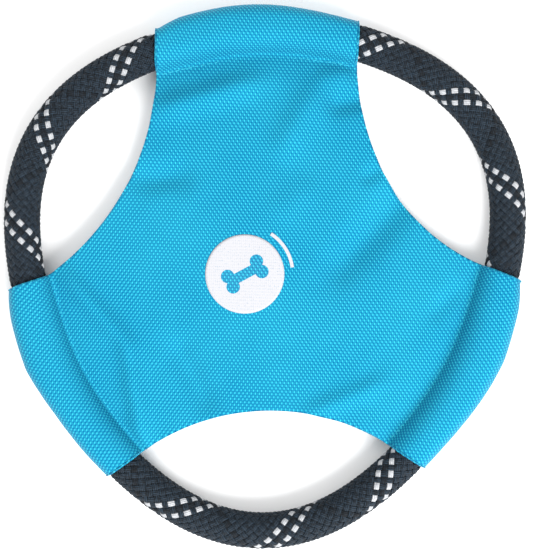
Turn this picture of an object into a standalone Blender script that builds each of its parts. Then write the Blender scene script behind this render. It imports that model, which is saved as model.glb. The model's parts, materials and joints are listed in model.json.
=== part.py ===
"""Soft throwing ring: a braided rope ring held in the three sleeves of a two-layer cloth body.

The cloth body is an outer panel and a lining, sewn edge to edge and turned.  Each of its three
flaps folds out over the rope and back beneath it, and a stitch row closes it as a sleeve.
The ring lies flat: +Z is up, +Y points at the top sleeve, and the origin is on the surface it
rests on, at the middle of its outline.  Metres.
"""

import math

import bpy
import bmesh
from mathutils import Vector

MM = 0.001
GAP = 0.3 * MM                      # between pieces that touch on the real ring

# Rope
ROPE_RADIUS = 8.15 * MM
SHEATH_WALL = 1.6 * MM
SHEATH_SHOULDER = 2.0 * MM          # over which the sheath is drawn in beside the wrap
LAID_STRANDS = 6                    # round the straight one in the middle
CORE_TURNS = 4                      # turns of the laid strands round the whole ring
BUTT_GAP = 0.6 * MM                 # between the two rope ends at the splice
WRAP_WALL = 0.4 * MM
WRAP_LENGTH = 26.0 * MM

# Line that the rope follows, as a distance from the ring's middle
RING_RADIUS = 108.7 * MM
RING_BULGE = 5.9 * MM               # outward between the sleeves, inward at them
RING_SHOULDER = 1.0 * MM            # rounds the three bulges
RING_OVAL = 1.9 * MM                # the soft ring lies a little longer than wide
BULGE_ANGLE = math.radians(30.0)
OVAL_ANGLE = math.radians(77.0)

# Cloth
CLOTH = 0.5 * MM
LAYER_STEP = CLOTH + GAP            # from one layer's middle to the next
SIDE_SLACK = 1.5 * MM               # tunnel beyond the rope, across
TOP_SLACK = 0.7 * MM                # tunnel beyond the rope, above
FLOOR_SLACK = 0.3 * MM              # tunnel beyond the rope, below, where it is pressed flat
CREASE_REACH = 0.35 * MM            # from the tunnel's side to the crease beside the stitch row
FLAP_TAIL = 7.0 * MM                # what the folded flap reaches past its crease, underneath
SLEEVE_HALF = 44.8 * MM             # half the sleeve's length at the crease
SLEEVE_FLARE = 2.1 * MM             # more than that at the sleeve's outer side
LINING_INSET = 1.0 * MM             # the lining's edge stands back from the outer panel's

# Sleeves by the direction they point in, and the depth of the hollow edge that follows each one,
# going anticlockwise seen from above
SLEEVES = {
    "right": (math.radians(332.6), "edge_seam_right", 14.3 * MM),
    "top": (math.radians(92.5), "edge_seam_left", 12.1 * MM),
    "left": (math.radians(209.5), "edge_seam_bottom", 17.0 * MM),
}

# Thread and print
THREAD_RADIUS = 0.25 * MM
STITCH_INSET = 1.7 * MM             # from the crease to the stitch row
STITCH_END = 2.6 * MM               # from the sleeve's end to the row's first stitch
NEEDLE_HOLE = THREAD_RADIUS + GAP
NEEDLE_SIDES = 12
PRINT_FILM = 0.2 * MM
PRINT_RADIUS = 17.5 * MM
PRINT_MIDDLE = Vector((-8.9 * MM, 1.1 * MM))
PRINT_ARC_RADIUS = 21.2 * MM
PRINT_ARC_WIDTH = 1.5 * MM
PRINT_ARC_ENDS = (math.radians(8.0), math.radians(57.0))

# Fineness
ROPE_STATIONS = 56
CORE_STATIONS = 44
WRAP_STATIONS = 6
SLEEVE_STATIONS = 10
OVER_STATIONS = 10                  # across a sleeve, from its crease over to the flat underneath
UNDER_STATIONS = 2                  # and from the flat to the flap's crease
HOLLOW_STATIONS = 12
ARC_STATIONS = 8
DISC_SIDES = 64
OUTLINE_STATIONS = 720
ROUND_SIDES = 4                     # bevel fineness of the rope and its wrap
THREAD_SIDES = 1                    # and of core strands and stitch rows

NECK_RADIUS = ROPE_RADIUS - WRAP_WALL - GAP
CORE_STRAND_RADIUS = (NECK_RADIUS - SHEATH_WALL - 3.0 * GAP) / 3.0
STRAND_LAY = 2.0 * CORE_STRAND_RADIUS + GAP
TUNNEL_SIDE = ROPE_RADIUS + SIDE_SLACK
TUNNEL_TOP = ROPE_RADIUS + TOP_SLACK
TUNNEL_FLOOR = ROPE_RADIUS + FLOOR_SLACK
CREASE_INSET = TUNNEL_SIDE + CREASE_REACH
CREASE_TURN = math.acos(-TUNNEL_SIDE / CREASE_INSET)    # where the cloth leaves the rope's round
CREASE_BEND = CREASE_TURN - math.radians(90.0)
SLEEVE_WALL = LAYER_STEP + CLOTH
MID_HEIGHT = TUNNEL_FLOOR + SLEEVE_WALL
LINING_MIDDLE = 0.5 * CLOTH         # a layer's middle, measured out from the tunnel
OUTER_MIDDLE = LINING_MIDDLE + LAYER_STEP
LINING_LIFT = 0.5 * (GAP + CLOTH)   # a layer's middle above the level where the flap meets the web
OUTER_LIFT = LINING_LIFT + LAYER_STEP
HOLE_DEPTH = 8.0 * OUTER_LIFT
SPLICE_ANGLE = SLEEVES["top"][0]
UP = Vector((0.0, 0.0, 1.0))


# ---------------------------------------------------------------- the ring's geometry

def rope_distance(angle):
    """Distance of the rope's line from the ring's middle."""
    from_bulge = angle - BULGE_ANGLE
    return (RING_RADIUS
            + RING_BULGE * math.cos(3.0 * from_bulge)
            + RING_SHOULDER * math.cos(6.0 * from_bulge)
            + RING_OVAL * math.cos(2.0 * (angle - OVAL_ANGLE)))


def half_length(out):
    """Half a sleeve's length, at a distance out from the rope's line."""
    reach = CREASE_INSET + TUNNEL_SIDE + SLEEVE_WALL
    return SLEEVE_HALF + SLEEVE_FLARE * (out + CREASE_INSET) / reach


def angle_beside(sleeve_angle, aside, out):
    """Angle of the point that lies out from the rope's line and aside from a sleeve's middle."""
    angle = sleeve_angle
    for _ in range(8):
        angle = sleeve_angle + math.asin(aside / (rope_distance(angle) + out))
    return angle


def outline_middle():
    """Middle of the outline's box, measured from the ring's middle."""
    xs, ys = [], []
    for step in range(OUTLINE_STATIONS):
        angle = math.tau * step / OUTLINE_STATIONS
        reach = ROPE_RADIUS
        for sleeve_angle, _, _ in SLEEVES.values():
            aside = math.sin(angle - sleeve_angle) * rope_distance(angle)
            if math.cos(angle - sleeve_angle) > 0.0 and abs(aside) < half_length(0.0):
                reach = TUNNEL_SIDE + SLEEVE_WALL
        xs.append((rope_distance(angle) + reach) * math.cos(angle))
        ys.append((rope_distance(angle) + reach) * math.sin(angle))
    return Vector((0.5 * (min(xs) + max(xs)), 0.5 * (min(ys) + max(ys)), 0.0))


RING_MIDDLE = Vector((0.0, 0.0, MID_HEIGHT)) - outline_middle()


def ring_point(angle, out=0.0, up=0.0):
    """Point beside the rope's line: out from the ring's middle, and up."""
    distance = rope_distance(angle) + out
    return RING_MIDDLE + Vector((distance * math.cos(angle), distance * math.sin(angle), up))


def rope_point(angle, across=0.0, turn=0.0):
    """Point inside the rope: across from its line, turned round it from the outer side."""
    step = 0.001
    along = (ring_point(angle + step) - ring_point(angle - step)).normalized()
    outward = along.cross(UP)
    return ring_point(angle) + across * (math.cos(turn) * outward + math.sin(turn) * UP)


def sleeve_section(offset, lift):
    """Points (out, up) of one cloth layer: crease, over the rope, under it, and the flap's tail."""
    half_width = TUNNEL_SIDE + offset
    half_height = TUNNEL_TOP + offset
    floor = TUNNEL_FLOOR + offset
    crease = -CREASE_INSET - (lift - LINING_LIFT) * math.tan(0.5 * CREASE_BEND)
    corner = math.asin(floor / half_height)
    over = [CREASE_TURN - (CREASE_TURN + corner) * step / OVER_STATIONS
            for step in range(OVER_STATIONS + 1)]
    under = [corner - math.pi - (corner - math.pi + CREASE_TURN) * step / UNDER_STATIONS
             for step in range(UNDER_STATIONS + 1)]
    section = [(crease, lift)]
    for turn in over + under:
        section.append((half_width * math.cos(turn), half_height * math.sin(turn)))
    section.append((crease, -lift))
    section.append((-CREASE_INSET - FLAP_TAIL, -lift))
    return section


def arc_between(start, end, depth, count):
    """Points of a round arc from start to end that bows to the left of the way by depth."""
    chord = end - start
    half = 0.5 * chord.length
    radius = (half * half + depth * depth) / (2.0 * depth)
    side = Vector((-chord.y, chord.x, 0.0)).normalized()
    centre = 0.5 * (start + end) - (radius - depth) * side
    sweep = 2.0 * math.asin(half / radius)
    spoke = start - centre
    points = []
    for step in range(count + 1):
        turn = -sweep * step / count
        points.append(centre + Vector((spoke.x * math.cos(turn) - spoke.y * math.sin(turn),
                                       spoke.x * math.sin(turn) + spoke.y * math.cos(turn),
                                       spoke.z)))
    return points


def end_line(sleeve_angle, side, offset, lift, inset):
    """Points down one end of a sleeve's layer, from its crease round to the flap's tail."""
    points = []
    for out, up in sleeve_section(offset, lift):
        aside = side * (half_length(out) - inset)
        points.append(ring_point(angle_beside(sleeve_angle, aside, out), out, up))
    return points


# ---------------------------------------------------------------- scene helpers

def clear_scene():
    for old in list(bpy.data.objects):
        bpy.data.objects.remove(old, do_unlink=True)


def new_collection(name):
    collection = bpy.data.collections.new(name)
    bpy.context.scene.collection.children.link(collection)
    return collection


def new_material(name, colour, roughness):
    material = bpy.data.materials.new(name)
    material.use_nodes = True
    shader = material.node_tree.nodes["Principled BSDF"]
    shader.inputs["Base Color"].default_value = (*colour, 1.0)
    shader.inputs["Roughness"].default_value = roughness
    shader.inputs["Metallic"].default_value = 0.0
    material.diffuse_color = (*colour, 1.0)
    return material


def new_object(name, data, collection, material=None, parent=None):
    """Object holding data, its place in its mesh, or from its parent's origin when it has one."""
    made = bpy.data.objects.new(name, data)
    collection.objects.link(made)
    if material:
        made.data.materials.append(material)
    if parent:
        made.parent = parent
        made.location = -parent.location
    return made


def smooth(mesh):
    mesh.shade_smooth()
    mesh.set_sharp_from_angle(angle=math.radians(40.0))


def poly_curve(name, points, radius, sides_step, closed=False, caps=True, thickness=None,
               twist="Z_UP"):
    """Round bar or tube along points; thickness, when given, scales it point by point."""
    curve = bpy.data.curves.new(name, "CURVE")
    curve.dimensions = "3D"
    curve.twist_mode = twist
    curve.bevel_depth = radius
    curve.bevel_resolution = sides_step
    curve.use_fill_caps = caps and not closed
    line = curve.splines.new("POLY")
    line.points.add(len(points) - 1)
    for index, point in enumerate(points):
        line.points[index].co = (*point, 1.0)
        line.points[index].radius = thickness[index] if thickness else 1.0
    line.use_cyclic_u = closed
    line.use_smooth = True
    return curve


def mesh_of(curve):
    """The curve's mesh, its caps welded, and the curve removed."""
    holder = bpy.data.objects.new(curve.name, curve)
    bpy.context.scene.collection.objects.link(holder)
    graph = bpy.context.evaluated_depsgraph_get()
    mesh = bpy.data.meshes.new_from_object(holder.evaluated_get(graph))
    welded = bmesh.new()
    welded.from_mesh(mesh)
    bmesh.ops.remove_doubles(welded, verts=welded.verts, dist=0.00001)
    bmesh.ops.recalc_face_normals(welded, faces=welded.faces)
    welded.to_mesh(mesh)
    welded.free()
    bpy.data.objects.remove(holder, do_unlink=True)
    bpy.data.curves.remove(curve)
    return mesh


def add_solidify(owner, thickness, offset):
    modifier = owner.modifiers.new("thickness", "SOLIDIFY")
    modifier.thickness = thickness
    modifier.offset = offset
    modifier.use_even_offset = True


# ---------------------------------------------------------------- cloth body

def panel_mesh(name, offset, lift, inset):
    """Middle surface of one cloth layer: the flat web and the three flaps folded round the rope."""
    sheet = bmesh.new()
    corners = []
    web = []
    for sleeve_angle, _, depth in SLEEVES.values():
        rows = []
        for out, up in sleeve_section(offset, lift):
            row = []
            end = half_length(out) - inset
            for step in range(SLEEVE_STATIONS + 1):
                aside = end * (2.0 * step / SLEEVE_STATIONS - 1.0)
                place = ring_point(angle_beside(sleeve_angle, aside, out), out, up)
                row.append(sheet.verts.new(place))
            rows.append(row)
        for inner, outer in zip(rows, rows[1:]):
            for step in range(SLEEVE_STATIONS):
                sheet.faces.new((inner[step], outer[step], outer[step + 1], inner[step + 1]))
        corners.append((rows[0], depth))
    for index, (crease, depth) in enumerate(corners):
        following = corners[(index + 1) % len(corners)][0]
        web.extend(crease)
        hollow = arc_between(crease[-1].co, following[0].co, depth, HOLLOW_STATIONS)
        web.extend(sheet.verts.new(point) for point in hollow[1:-1])
    sheet.faces.new(web)
    bmesh.ops.recalc_face_normals(sheet, faces=sheet.faces)
    mesh = bpy.data.meshes.new(name)
    sheet.to_mesh(mesh)
    sheet.free()
    return mesh


def stitch_ends(sleeve_angle):
    """The two angles where a sleeve's stitch row starts and ends, and how far out it lies."""
    out = -CREASE_INSET - STITCH_INSET
    aside = half_length(out) - STITCH_END
    return angle_beside(sleeve_angle, -aside, out), angle_beside(sleeve_angle, aside, out), out


def needle_cutter(cutters):
    """Bars where the first and last stitches of the three sleeves pass through the cloth."""
    holes = bmesh.new()
    for sleeve_angle, _, _ in SLEEVES.values():
        first, last, out = stitch_ends(sleeve_angle)
        for angle in (first, last):
            bar = bmesh.ops.create_cone(holes, cap_ends=True, segments=NEEDLE_SIDES,
                                        radius1=NEEDLE_HOLE, radius2=NEEDLE_HOLE,
                                        depth=HOLE_DEPTH)
            bmesh.ops.translate(holes, verts=bar["verts"], vec=ring_point(angle, out))
    mesh = bpy.data.meshes.new("needle_holes")
    holes.to_mesh(mesh)
    holes.free()
    cutter = new_object("needle_holes", mesh, cutters)
    cutter.hide_render = True
    cutter.display_type = "WIRE"
    return cutter


def make_panel(name, offset, lift, inset, material, parts, cutter):
    panel = new_object(name, panel_mesh(name, offset, lift, inset), parts, material)
    add_solidify(panel, CLOTH, 0.0)
    cut = panel.modifiers.new("needle holes", "BOOLEAN")
    cut.operation = "DIFFERENCE"
    cut.solver = "EXACT"
    cut.object = cutter
    return panel


def make_edge_seams(material, parts):
    """Thread that joins the layers down a sleeve's end, along the hollow edge and up the next."""
    inset = THREAD_RADIUS
    layer = (LINING_MIDDLE, LINING_LIFT, inset)
    sleeves = list(SLEEVES.values())
    for index, (sleeve_angle, name, depth) in enumerate(sleeves):
        next_angle = sleeves[(index + 1) % len(sleeves)][0]
        leaving = end_line(sleeve_angle, 1.0, *layer)
        arriving = end_line(next_angle, -1.0, *layer)
        hollow = arc_between(leaving[0], arriving[0], depth, HOLLOW_STATIONS)
        route = leaving[::-1] + hollow[1:-1] + arriving
        curve = poly_curve(name, route, THREAD_RADIUS, 0, twist="MINIMUM")
        new_object(name, mesh_of(curve), parts, material)


def make_sleeve_seams(material, parts):
    """Thread of each stitch row: along the face, through the cloth and back along the rear."""
    height = OUTER_LIFT + 0.5 * CLOTH + GAP + THREAD_RADIUS
    for sleeve, (sleeve_angle, _, _) in SLEEVES.items():
        first, last, out = stitch_ends(sleeve_angle)
        over, under = [], []
        for step in range(SLEEVE_STATIONS + 1):
            angle = first + (last - first) * step / SLEEVE_STATIONS
            over.append(ring_point(angle, out, height))
            under.append(ring_point(angle, out, -height))
        name = f"sleeve_seam_{sleeve}"
        curve = poly_curve(name, over + under[::-1], THREAD_RADIUS, THREAD_SIDES, closed=True,
                           twist="MINIMUM")
        seam = new_object(name, mesh_of(curve), parts, material)
        smooth(seam.data)


def print_height():
    return RING_MIDDLE.z + OUTER_LIFT + 0.5 * CLOTH + GAP


def make_print_disc(material, parts):
    disc = bmesh.new()
    bmesh.ops.create_cone(disc, cap_ends=True, segments=DISC_SIDES, radius1=PRINT_RADIUS,
                          radius2=PRINT_RADIUS, depth=PRINT_FILM)
    place = (*PRINT_MIDDLE, print_height() + 0.5 * PRINT_FILM)
    bmesh.ops.translate(disc, verts=disc.verts, vec=place)
    mesh = bpy.data.meshes.new("print_disc")
    disc.to_mesh(mesh)
    disc.free()
    new_object("print_disc", mesh, parts, material)


def make_print_arc(material, parts):
    """Plain printed stripe that follows the disc's edge."""
    first, last = PRINT_ARC_ENDS
    outline = bpy.data.curves.new("print_arc", "CURVE")
    outline.dimensions = "2D"
    outline.fill_mode = "BOTH"
    outline.extrude = 0.5 * PRINT_FILM
    edge = []
    for radius, order in ((PRINT_ARC_RADIUS - 0.5 * PRINT_ARC_WIDTH, 1),
                          (PRINT_ARC_RADIUS + 0.5 * PRINT_ARC_WIDTH, -1)):
        side = []
        for step in range(ARC_STATIONS + 1):
            turn = first + (last - first) * step / ARC_STATIONS
            side.append((radius * math.cos(turn), radius * math.sin(turn)))
        edge.extend(side[::order])
    line = outline.splines.new("POLY")
    line.points.add(len(edge) - 1)
    for index, (x, y) in enumerate(edge):
        line.points[index].co = (x, y, 0.0, 1.0)
    line.use_cyclic_u = True
    arc = new_object("print_arc", outline, parts, material)
    arc.location = (*PRINT_MIDDLE, print_height() + 0.5 * PRINT_FILM)


# ---------------------------------------------------------------- rope ring

def round_the_ring(count, end_gap):
    """Angles from one rope end round to the other, end_gap apart at the splice."""
    margin = 0.5 * end_gap / rope_distance(SPLICE_ANGLE)
    first = SPLICE_ANGLE + margin
    last = SPLICE_ANGLE + math.tau - margin
    return [first + (last - first) * step / count for step in range(count + 1)]


def make_sheath(material, parts, axis):
    """Hollow braided cover, drawn in under the wrap at the splice."""
    necked = NECK_RADIUS / ROPE_RADIUS
    reach = 0.5 * WRAP_LENGTH + GAP
    margin = 0.5 * BUTT_GAP / rope_distance(SPLICE_ANGLE)
    neck = reach / rope_distance(SPLICE_ANGLE)
    shoulder = neck + SHEATH_SHOULDER / rope_distance(SPLICE_ANGLE)
    places = [(margin, necked), (neck, necked), (shoulder, 1.0)]
    middle = round_the_ring(ROPE_STATIONS, 0.0)
    angles = [SPLICE_ANGLE + turn for turn, _ in places]
    thickness = [size for _, size in places]
    for angle in middle:
        if shoulder + margin < angle - SPLICE_ANGLE < math.tau - shoulder - margin:
            angles.append(angle)
            thickness.append(1.0)
    angles += [SPLICE_ANGLE + math.tau - turn for turn, _ in places[::-1]]
    thickness += [size for _, size in places[::-1]]
    points = [rope_point(angle) for angle in angles]
    curve = poly_curve("rope_sheath", points, ROPE_RADIUS, ROUND_SIDES, caps=False,
                       thickness=thickness)
    sheath = new_object("rope_sheath", mesh_of(curve), parts, material, axis)
    add_solidify(sheath, SHEATH_WALL, -1.0)
    smooth(sheath.data)


def make_core(material, parts, axis):
    """Strands laid round a straight one, from rope end to rope end."""
    angles = round_the_ring(CORE_STATIONS, BUTT_GAP)
    for strand in range(LAID_STRANDS + 1):
        lay = STRAND_LAY if strand < LAID_STRANDS else 0.0
        points = []
        for angle in angles:
            turn = CORE_TURNS * (angle - SPLICE_ANGLE) + math.tau * strand / LAID_STRANDS
            points.append(rope_point(angle, lay, turn))
        name = f"core_strand_{strand + 1}"
        curve = poly_curve(name, points, CORE_STRAND_RADIUS, THREAD_SIDES)
        core = new_object(name, mesh_of(curve), parts, material, axis)
        smooth(core.data)


def make_splice_wrap(material, parts, axis):
    """Tape wound over the butted rope ends."""
    half = 0.5 * WRAP_LENGTH / rope_distance(SPLICE_ANGLE)
    points = [rope_point(SPLICE_ANGLE + half * (2.0 * step / WRAP_STATIONS - 1.0))
              for step in range(WRAP_STATIONS + 1)]
    curve = poly_curve("splice_wrap", points, ROPE_RADIUS, ROUND_SIDES, caps=False)
    wrap = new_object("splice_wrap", mesh_of(curve), parts, material, axis)
    add_solidify(wrap, WRAP_WALL, -1.0)
    smooth(wrap.data)


# ---------------------------------------------------------------- assembly

def build():
    clear_scene()
    parts = new_collection("throwing_ring")
    cutters = new_collection("cutters")

    face_cloth = new_material("face cloth", (0.026, 0.454, 0.716), 0.62)
    lining_cloth = new_material("lining cloth", (0.024, 0.42, 0.67), 0.66)
    thread = new_material("sewing thread", (0.03, 0.50, 0.76), 0.5)
    ink = new_material("print ink", (0.90, 0.92, 0.93), 0.7)
    braid = new_material("braid", (0.030, 0.045, 0.068), 0.75)
    core = new_material("core fibre", (0.62, 0.60, 0.56), 0.85)
    tape = new_material("splice tape", (0.02, 0.02, 0.025), 0.45)

    cutter = needle_cutter(cutters)
    make_panel("outer_panel", OUTER_MIDDLE, OUTER_LIFT, 0.0, face_cloth, parts, cutter)
    make_panel("lining_panel", LINING_MIDDLE, LINING_LIFT, LINING_INSET, lining_cloth, parts,
               cutter)
    make_edge_seams(thread, parts)
    make_sleeve_seams(thread, parts)
    make_print_disc(ink, parts)
    make_print_arc(ink, parts)

    axis = bpy.data.objects.new("rope_ring_axis", None)
    axis.location = RING_MIDDLE
    parts.objects.link(axis)
    make_sheath(braid, parts, axis)
    make_core(core, parts, axis)
    make_splice_wrap(tape, parts, axis)


build()
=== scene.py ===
import json
import math

import bpy
import bmesh
import numpy as np
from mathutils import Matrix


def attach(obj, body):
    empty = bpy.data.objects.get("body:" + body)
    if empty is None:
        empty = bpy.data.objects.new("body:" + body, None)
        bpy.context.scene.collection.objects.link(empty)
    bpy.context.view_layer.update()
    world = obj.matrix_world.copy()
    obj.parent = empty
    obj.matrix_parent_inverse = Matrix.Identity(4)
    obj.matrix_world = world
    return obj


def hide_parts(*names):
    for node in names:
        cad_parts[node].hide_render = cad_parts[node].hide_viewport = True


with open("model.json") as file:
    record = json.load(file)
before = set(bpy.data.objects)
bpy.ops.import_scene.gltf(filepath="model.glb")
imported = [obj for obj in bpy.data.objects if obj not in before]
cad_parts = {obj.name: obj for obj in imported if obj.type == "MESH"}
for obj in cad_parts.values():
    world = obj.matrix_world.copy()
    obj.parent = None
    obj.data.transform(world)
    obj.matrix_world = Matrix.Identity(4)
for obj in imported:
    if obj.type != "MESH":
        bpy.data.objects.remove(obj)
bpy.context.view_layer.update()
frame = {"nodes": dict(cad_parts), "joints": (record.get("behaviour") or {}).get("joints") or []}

MM = 0.001
TAU = math.tau

# ---------------------------------------------------------------- sizes, as in the solid model
ROPE_RADIUS = 8.15 * MM
RING_RADIUS = 108.7 * MM
RING_BULGE = 5.9 * MM
RING_SHOULDER = 1.0 * MM
RING_OVAL = 1.9 * MM
BULGE_ANGLE = math.radians(30.0)
OVAL_ANGLE = math.radians(77.0)
WRAP_WALL = 0.4 * MM
WRAP_HALF = 13.0 * MM

TUNNEL_TOP = 8.85 * MM
TUNNEL_FLOOR = 8.45 * MM
LINING_LIFT = 0.4 * MM
OUTER_LIFT = 1.2 * MM
CREASE_INSET = 10.0 * MM
CREASE_LEAN = 0.77                  # how far the outer crease steps in for the height between layers
FLAP_TAIL = 7.0 * MM
SLEEVE_HALF = 44.8 * MM
SLEEVE_FLARE = 2.1 * MM
SLEEVE_OUTSIDE = 10.95 * MM         # from the rope's line to the sleeve's outer side
STITCH_INSET = 1.7 * MM
STITCH_END = 2.6 * MM
PRINT_RADIUS = 17.5 * MM
PRINT_MIDDLE = (-8.9 * MM, 1.1 * MM)
PRINT_ARC_RADIUS = 21.2 * MM
PRINT_ARC_WIDTH = 1.5 * MM
PRINT_ARC_ENDS = (math.radians(8.0), math.radians(57.0))

RING_MIDDLE = np.array(frame["joints"][0]["pos_m"], float)

# ---------------------------------------------------------------- sizes of the real cloth and braid

CLOTH = 0.4 * MM
SLEEVE_STEP = 0.45 * MM             # between the two layers where they are drawn round the rope
LIP_RADIUS = 0.5 * MM
EDGE_FOLD = 0.5 * MM                # the folded edge stands back from the cut line, for its lip
LINING_BACK = 0.35 * MM             # and the lining's a little more
WARP_PITCH = 0.906 * MM
WEFT_PITCH = 1.31 * MM
ROW_TILT = math.radians(2.0)
RIB_SHARE = 0.13                    # how much the crowns run together into slanting ribs, with painted highlight along them
WARP_HIGHLIGHT, WEFT_HIGHLIGHT = 0.80, 0.38 # how much painted highlight each thread's crown shows
THREAD_SLIP = 0.35 * MM             # how far the threads wander from their straight rows

# Each sleeve: its direction, the hollow edge that follows it and how much deeper that starts, how
# much farther in its stitch row bows, how far its cloth stands out beyond the rope's line from one
# end to the other, and what its two ends lack at the crease and outside, both in millimetres.
SLEEVES = (
    {"name": "right", "angle": math.radians(332.6), "hollow": 14.3 * MM, "lean": 1.9 * MM,
     "row": 0.0,
     "reach": (9.2, 9.2, 9.8, 10.7, 11.6, 12.3, 11.7, 11.2, 9.4), "lack": ((0, 0), (0, 0))},
    {"name": "top", "angle": math.radians(92.5), "hollow": 12.1 * MM, "lean": 0.0,
     "row": 1.3 * MM,
     "reach": (9.2, 9.2, 9.7, 10.4, 10.9, 11.1, 11.0, 10.9, 9.2), "lack": ((0, 0), (0.9, 3.0))},
    {"name": "left", "angle": math.radians(209.5), "hollow": 17.0 * MM, "lean": 0.0,
     "row": 0.0,
     "reach": (9.8, 11.2, 11.6, 12.0, 10.7, 9.6, 9.3, 9.2, 9.2), "lack": ((1.2, 0), (0, 0))},
)
SLEEVE_SQUARE = 0.52                # below 1 the sleeve is flatter on top and turns down sharply
MOUTH_DRAW, MOUTH_REACH = 0.9, 9.1  # drawn in at its mouths, but never onto the rope, in millimetres
END_DRAW = 0.9 * MM                 # the crease is this much nearer the rope at a sleeve's ends
OVER_ROPE = 1.05 * MM               # from the tunnel to the outer layer's middle, above and below
END_SINK = 0.5 * MM                 # the sleeve's top is this much lower at its ends
FLOOR_STEP = 0.8 * MM               # between the two layers under the rope
INNER_ROOM = 0.3 * MM               # from the crease to the sleeve's inner side
LEAVE_TURN = math.radians(163.0)    # where the cloth leaves the rope's round for the crease
OVER_STEPS, UNDER_STEPS = 60, 12
SMOOTHINGS = 3

# Folds pressed into the web, as lines seen from above: ends, half width and height, in millimetres.
FOLDS = (
    ((-48, 73), (-4, 86), 4.0, 3.8),
    ((24, 84), (7, 55), 5.2, 3.5),
    ((29, 76), (47, 79), 3.2, -3.1),
    ((24, 88), (38, 89), 3.0, 1.7),
    ((-58, 43), (-34, 45), 4.2, -3.1),
    ((64, 38), (30, 0), 5.8, -4.6),
    ((52, 48), (43, 43), 2.4, -1.6),
    ((-88, 0), (-61, -30), 3.2, 3.1),
    ((-61, -30), (-54, -74), 3.2, 3.1),
    ((-40, -30), (-25, -58), 4.2, -3.1),
    ((19, -61), (52, -47), 3.0, 2.2),
    ((86, -5), (74, -18), 2.8, -1.4),
    ((4, 26), (20, 40), 6.0, 1.4),
)
FOLD_REACH = 0.56                   # of a fold's length, from its middle to where it dies away
PILLOW = 1.5 * MM                   # height of the web's middle over its stitch rows
PILLOW_RISE = 15.0 * MM             # and the distance over which it gets there
FOLD_START = 4.0 * MM               # the folds come in over this distance from the crease
RIPPLE = 0.10 * MM                  # of the slack cloth between the folds
RIPPLE_START = 8.0 * MM
STITCH_DIP = 0.40 * MM              # how far the thread sinks into the cloth
STITCH_DIP_WIDTH = 1.0 * MM
PUCKER = 0.15 * MM                  # and how far it draws in the cloth round it
PUCKER_WIDTH = 3.0 * MM

# Braid
LEADS = 14
CARRIERS = 12                       # in each direction
BRAID_MIDDLE = 7.15 * MM            # radius that the strands' middles weave about
BRAID_WAVE = 0.45 * MM
YARNS = 3                           # side by side in each strand
PLY_RATE = 900.0                    # twists of a yarn's plies in a metre
STRAND_WIDTH = 2.5 * MM
CROSSING_WIDTH = 2.75 * MM          # of the strands that cross the tracers, which lie flatter
STRAND_THICK = 1.1 * MM
STRAND_SIDES = 8
STEPS_PER_CROSSING = 3
BRAID_PHASE = math.radians(153.3)
LAY_SHIFT = 0.26                    # leads; the lay is tighter on both sides of the top sleeve
LAY_REACH = math.radians(30.0)
BESIDE_TRACER = 0.6                 # how much darker the strand between the two tracers is
SQUEEZE = 0.10                      # share of its radius that the rope loses inside a sleeve


# ---------------------------------------------------------------- the ring's geometry

def rope_distance(angle):
    """From the ring's middle to the rope's line, which bulges between the sleeves."""
    from_bulge = angle - BULGE_ANGLE
    return (RING_RADIUS
            + RING_BULGE * np.cos(3.0 * from_bulge)
            + RING_SHOULDER * np.cos(6.0 * from_bulge)
            + RING_OVAL * np.cos(2.0 * (angle - OVAL_ANGLE)))


def half_length(out):
    """Half the sleeve's length at a distance out from the rope's line; it flares outwards."""
    return SLEEVE_HALF + SLEEVE_FLARE * (out + CREASE_INSET) / (CREASE_INSET + SLEEVE_OUTSIDE)


def angle_beside(sleeve_angle, aside, out):
    """The direction of a place that lies aside from the middle of a sleeve."""
    angle = sleeve_angle + 0.0 * aside
    for _ in range(8):
        angle = sleeve_angle + np.arcsin(aside / (rope_distance(angle) + out))
    return angle


def ring_point(angle, out=0.0, up=0.0):
    distance = rope_distance(angle) + out
    return np.stack([RING_MIDDLE[0] + distance * np.cos(angle),
                     RING_MIDDLE[1] + distance * np.sin(angle),
                     RING_MIDDLE[2] + up + 0.0 * angle], axis=-1)


def arc_between(start, end, depth, count):
    """Points of a round arc from start to end that bows to the left of the way by depth."""
    chord = end - start
    half = 0.5 * np.linalg.norm(chord)
    radius = (half * half + depth * depth) / (2.0 * depth)
    side = np.array([-chord[1], chord[0]]) / (2.0 * half)
    centre = 0.5 * (start + end) - (radius - depth) * side
    turn = -2.0 * math.asin(half / radius) * np.linspace(0.0, 1.0, count + 1)
    spoke = start - centre
    return centre + np.stack([spoke[0] * np.cos(turn) - spoke[1] * np.sin(turn),
                              spoke[0] * np.sin(turn) + spoke[1] * np.cos(turn)], axis=-1)


def eased(share):
    share = np.clip(share, 0.0, 1.0)
    return share * share * (3.0 - 2.0 * share)


def beyond_crease(x, y):
    """How far inside the three creases a place on the web lies."""
    x, y = x - RING_MIDDLE[0], y - RING_MIDDLE[1]
    return rope_distance(np.arctan2(y, x)) - CREASE_INSET - np.hypot(x, y)


def web_rise(x, y):
    """Height of the web's pillow and folds at a place seen from above."""
    inside = beyond_crease(x, y)
    rise = PILLOW * eased(inside / PILLOW_RISE)
    for (ax, ay), (bx, by), width, height in FOLDS:
        ax, ay, bx, by, width, height = (v * MM for v in (ax, ay, bx, by, width, height))
        way = np.array([bx - ax, by - ay])
        share = ((x - ax) * way[0] + (y - ay) * way[1]) / (way @ way)
        apart = ((x - ax) * way[1] - (y - ay) * way[0]) / np.hypot(*way)
        ends = np.exp(-(np.abs(share - 0.5) / FOLD_REACH) ** 4)
        rise += height * ends * np.exp(-0.5 * (apart / width) ** 2) * eased(inside / FOLD_START)
    ripple = (np.sin(x / (3.1 * MM) + 2.0 * np.sin(y / (11.0 * MM)))
              * np.sin(y / (3.7 * MM) + 1.5 * np.sin(x / (13.0 * MM))))
    return rise + RIPPLE * ripple * eased(inside / RIPPLE_START)


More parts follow.
